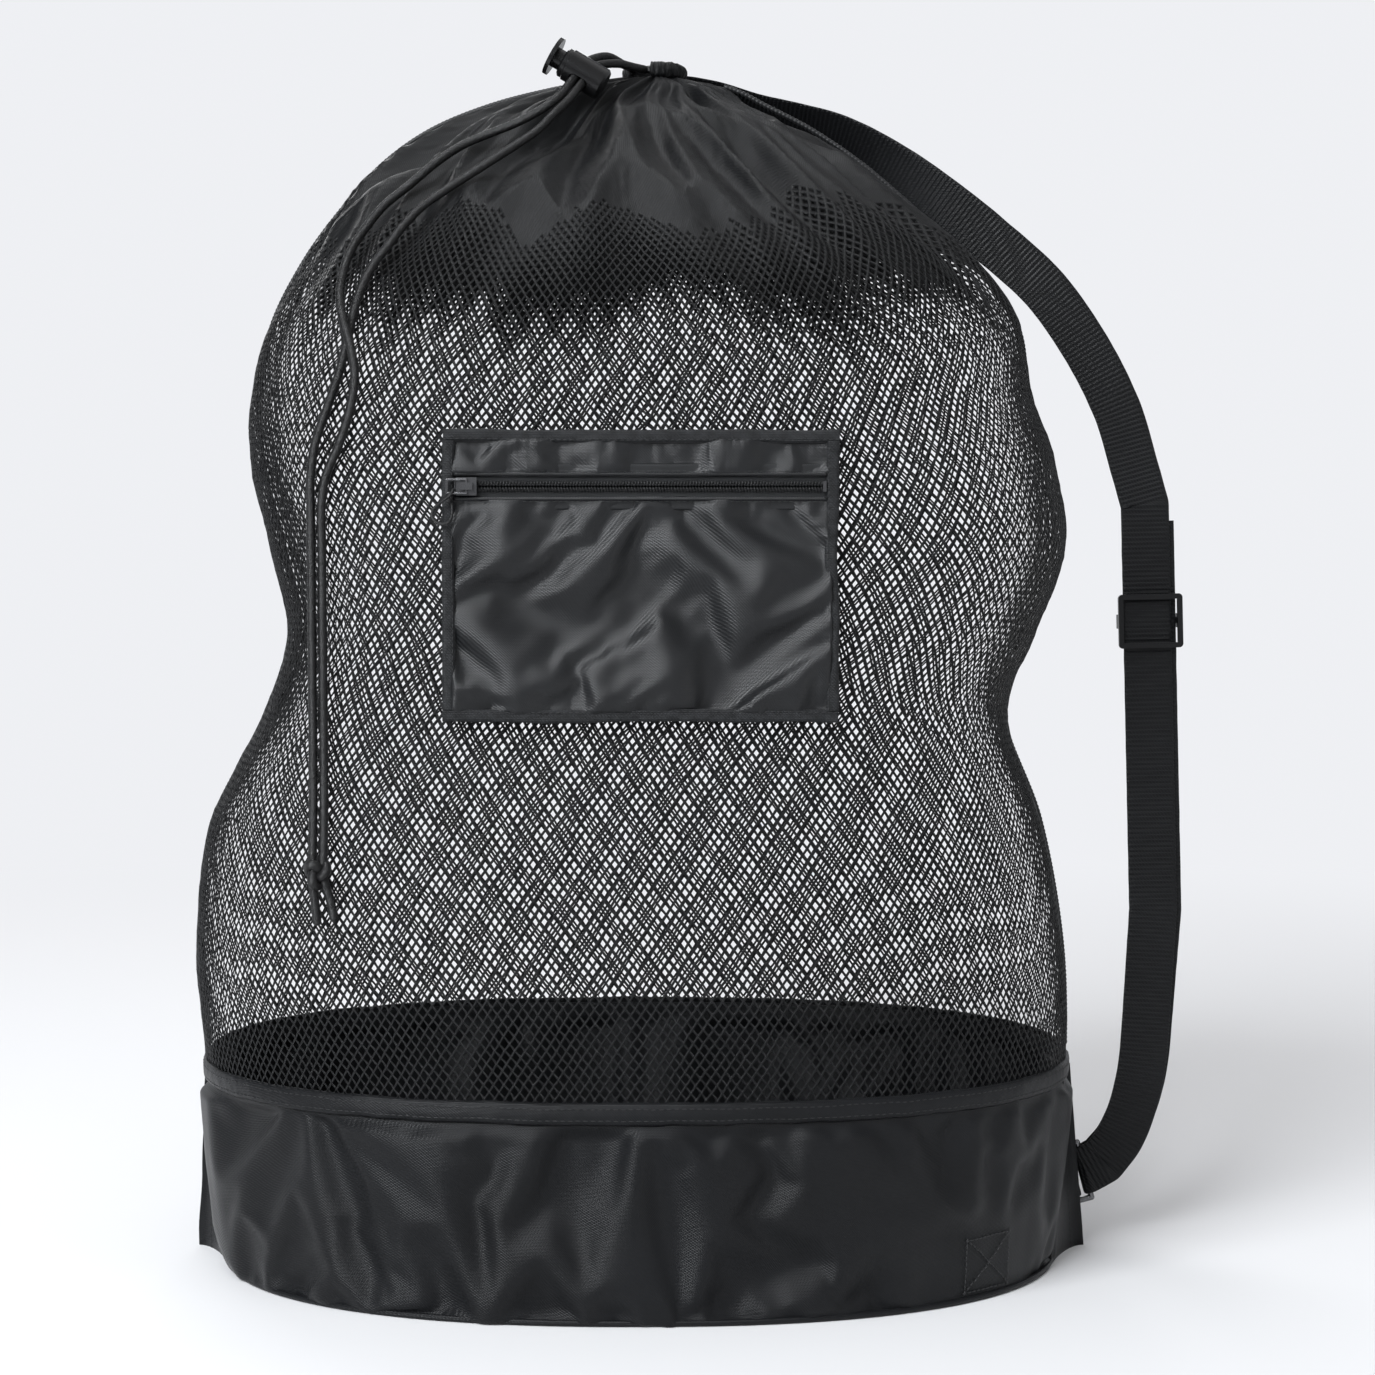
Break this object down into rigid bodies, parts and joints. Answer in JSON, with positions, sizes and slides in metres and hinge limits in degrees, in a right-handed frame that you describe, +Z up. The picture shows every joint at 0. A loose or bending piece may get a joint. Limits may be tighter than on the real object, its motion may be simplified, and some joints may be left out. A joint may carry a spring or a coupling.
{
  "type": "mesh ball bag",
  "caption": "Drawstring mesh ball bag with a coated base band, zipped front pocket, push-button cord lock and an adjustable shoulder strap.",
  "frame": {"origin": "centre of the underside of the base, on the floor", "axes": "+Z up towards the gathered mouth, -Y to the front where the pocket is, +X to the side where the shoulder strap hangs"},
  "size_m": [0.495, 0.3155, 0.594],
  "materials": {
    "coated_fabric": "satin coated polyester",
    "pocket_fabric": "glossy coated polyester",
    "binding_tape": "woven tape, matte",
    "diamond_mesh": "knitted diamond net, satin",
    "braided_cord": "braided polyester, satin",
    "webbing": "ribbed polypropylene webbing",
    "zip_tape": "woven tape",
    "zip_coil": "nylon coil",
    "lock_plastic": "moulded, satin",
    "buckle_plastic": "moulded, satin",
    "black_metal": "black oxide",
    "spring_steel": "bright wire"
  },
  "bodies": {
    "bag": {"base_bottom": "coated_fabric", "base_band_front": "coated_fabric", "base_band_back": "coated_fabric", "base_top_binding": "binding_tape", "base_side_seam_left": "coated_fabric", "base_side_seam_right": "coated_fabric", "mesh_front": "diamond_mesh", "mesh_back": "diamond_mesh", "mesh_side_seam_left": "binding_tape", "mesh_side_seam_right": "binding_tape", "mouth_hem": "binding_tape", "drawcord_loop": "braided_cord", "drawcord_tail_left": "braided_cord", "drawcord_tail_right": "braided_cord", "drawcord_knot": "braided_cord", "shoulder_strap": "webbing", "strap_ring": "black_metal", "ring_tab": "webbing", "anchor_patch": "webbing", "pocket_back_panel": "coated_fabric", "pocket_front_panel": "pocket_fabric", "pocket_top_panel": "pocket_fabric", "pocket_binding_top": "binding_tape", "pocket_binding_bottom": "binding_tape", "pocket_binding_left": "binding_tape", "pocket_binding_right": "binding_tape", "zip_tape_upper": "zip_tape", "zip_tape_lower": "zip_tape", "zip_coil_upper": "zip_coil", "zip_coil_lower": "zip_coil", "zip_end_stops": "black_metal"},
    "cord_lock": {"cord_lock_barrel": "lock_plastic", "cord_lock_spring": "spring_steel"},
    "lock_button": {"cord_lock_plunger": "lock_plastic"},
    "adjuster": {"strap_adjuster": "buckle_plastic"},
    "slider": {"zip_slider": "black_metal"},
    "pull_ring": {"zip_pull_ring": "black_metal"},
    "pull_loop": {"zip_pull_loop": "braided_cord"}
  },
  "joints": [
    {"name": "cord_lock_slide", "type": "slide", "parent": "bag", "child": "cord_lock", "axis": [-0.3541, -0.7145, -0.6035], "range_m": [0, 0.005]},
    {"name": "button_press", "type": "slide", "parent": "cord_lock", "child": "lock_button", "axis": [0.8625, 0, -0.506], "range_m": [0, 0.003], "stiffness_N_per_m": 300, "springref_m": -0.004, "deforming": ["cord_lock_spring"]},
    {"name": "adjuster_slide", "type": "slide", "parent": "bag", "child": "adjuster", "axis": [0.027, 0, -0.9996], "range_m": [-0.012, 0.1]},
    {"name": "zip_slide", "type": "slide", "parent": "bag", "child": "slider", "axis": [1, 0, 0], "range_m": [0, 0.15]},
    {"name": "pull_ring_flip", "type": "hinge", "parent": "slider", "child": "pull_ring", "pos_m": [-0.0741, -0.1583, 0.376], "axis": [0, 0, 1], "range_deg": [0, 100]},
    {"name": "pull_loop_swing", "type": "hinge", "parent": "pull_ring", "child": "pull_loop", "pos_m": [-0.0804, -0.1583, 0.373], "axis": [-1, 0, 0], "range_deg": [0, 70]}
  ]
}
